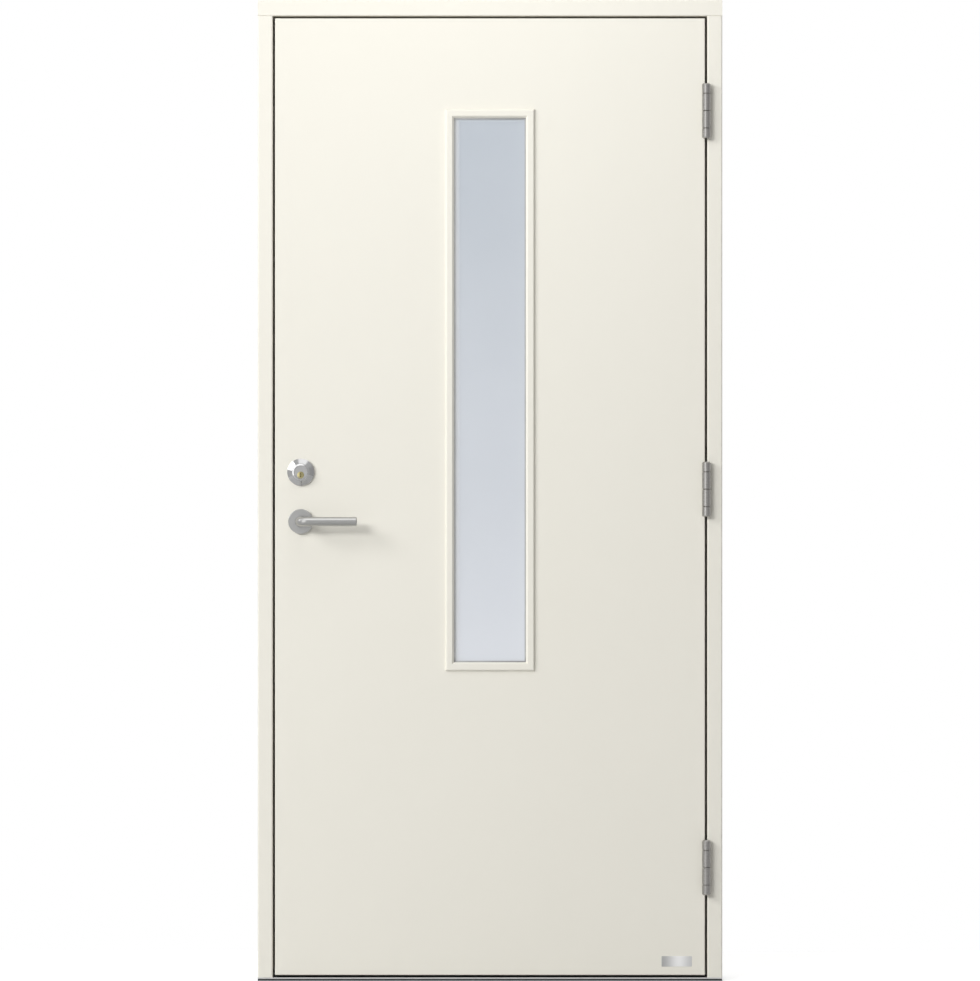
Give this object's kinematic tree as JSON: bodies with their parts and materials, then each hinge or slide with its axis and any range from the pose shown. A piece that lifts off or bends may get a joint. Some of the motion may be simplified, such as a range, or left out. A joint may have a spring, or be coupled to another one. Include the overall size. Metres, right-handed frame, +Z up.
{
  "type": "entrance door",
  "caption": "Painted outward-opening entrance door in a rebated frame, with a tall narrow satin glass light, barrel hinges, a lever handle and a ringed key cylinder.",
  "frame": {"origin": "middle of the threshold's underside, at mid-depth of the frame", "axes": "+Z up, +X to the right seen from outside, -Y towards the outside"},
  "size_m": [0.99, 0.182, 2.09],
  "materials": {
    "leaf_paint": "satin cream paint",
    "frame_paint": "satin cream paint on wood",
    "edge_paint": "satin cream paint on wood",
    "bead_paint": "satin cream paint",
    "foam": "rigid insulation foam",
    "satin_glass": "satin etched",
    "spacer_metal": "matt",
    "gasket_rubber": "matt light grey",
    "seal_rubber": "matt dark grey",
    "threshold_metal": "natural anodised",
    "threshold_core": "matt grey",
    "handle_steel": "brushed",
    "hinge_steel": "satin",
    "lock_steel": "brushed",
    "ring_chrome": "polished",
    "cylinder_steel": "satin",
    "plug_brass": "satin"
  },
  "bodies": {
    "frame": {"frame_head": "frame_paint", "lock_jamb": "frame_paint", "hinge_jamb": "frame_paint", "threshold_base": "threshold_core", "threshold_cover": "threshold_metal", "head_seal": "seal_rubber", "lock_side_seal": "seal_rubber", "hinge_side_seal": "seal_rubber", "threshold_seal": "seal_rubber", "strike_plate": "lock_steel", "upper_hinge_frame_half": "hinge_steel", "middle_hinge_frame_half": "hinge_steel", "lower_hinge_frame_half": "hinge_steel", "hinge_bottom_caps": "hinge_steel"},
    "leaf": {"outer_skin": "leaf_paint", "inner_skin": "leaf_paint", "lock_stile": "edge_paint", "hinge_stile": "edge_paint", "top_rail": "edge_paint", "bottom_rail": "edge_paint", "insulation_core": "foam", "outer_pane": "satin_glass", "inner_pane": "satin_glass", "glazing_spacer": "spacer_metal", "outer_gasket": "gasket_rubber", "inner_gasket": "gasket_rubber", "outer_glazing_frame": "bead_paint", "inner_glazing_frame": "bead_paint", "outer_rose": "handle_steel", "inner_rose": "handle_steel", "cylinder_ring": "ring_chrome", "cylinder_body": "cylinder_steel", "key_plug": "plug_brass", "thumbturn_rose": "handle_steel", "thumbturn_knob": "handle_steel", "lock_forend": "lock_steel", "lock_bolts": "lock_steel", "upper_hinge_leaf_half": "hinge_steel", "middle_hinge_leaf_half": "hinge_steel", "lower_hinge_leaf_half": "hinge_steel", "hinge_top_caps": "hinge_steel"},
    "lever": {"outer_lever": "handle_steel", "inner_lever": "handle_steel", "spindle": "lock_steel"}
  },
  "joints": [
    {"name": "door_swing", "type": "hinge", "parent": "frame", "child": "leaf", "pos_m": [0.4605, -0.06255, 1.04775], "axis": [0, 0, 1], "range_deg": [0, 170]},
    {"name": "lever_turn", "type": "hinge", "parent": "leaf", "child": "lever", "pos_m": [-0.403, -0.0215, 0.979], "axis": [0, 1, 0], "range_deg": [0, 45], "stiffness_Nm_per_rad": 1.5, "springref_deg": -34.38}
  ]
}
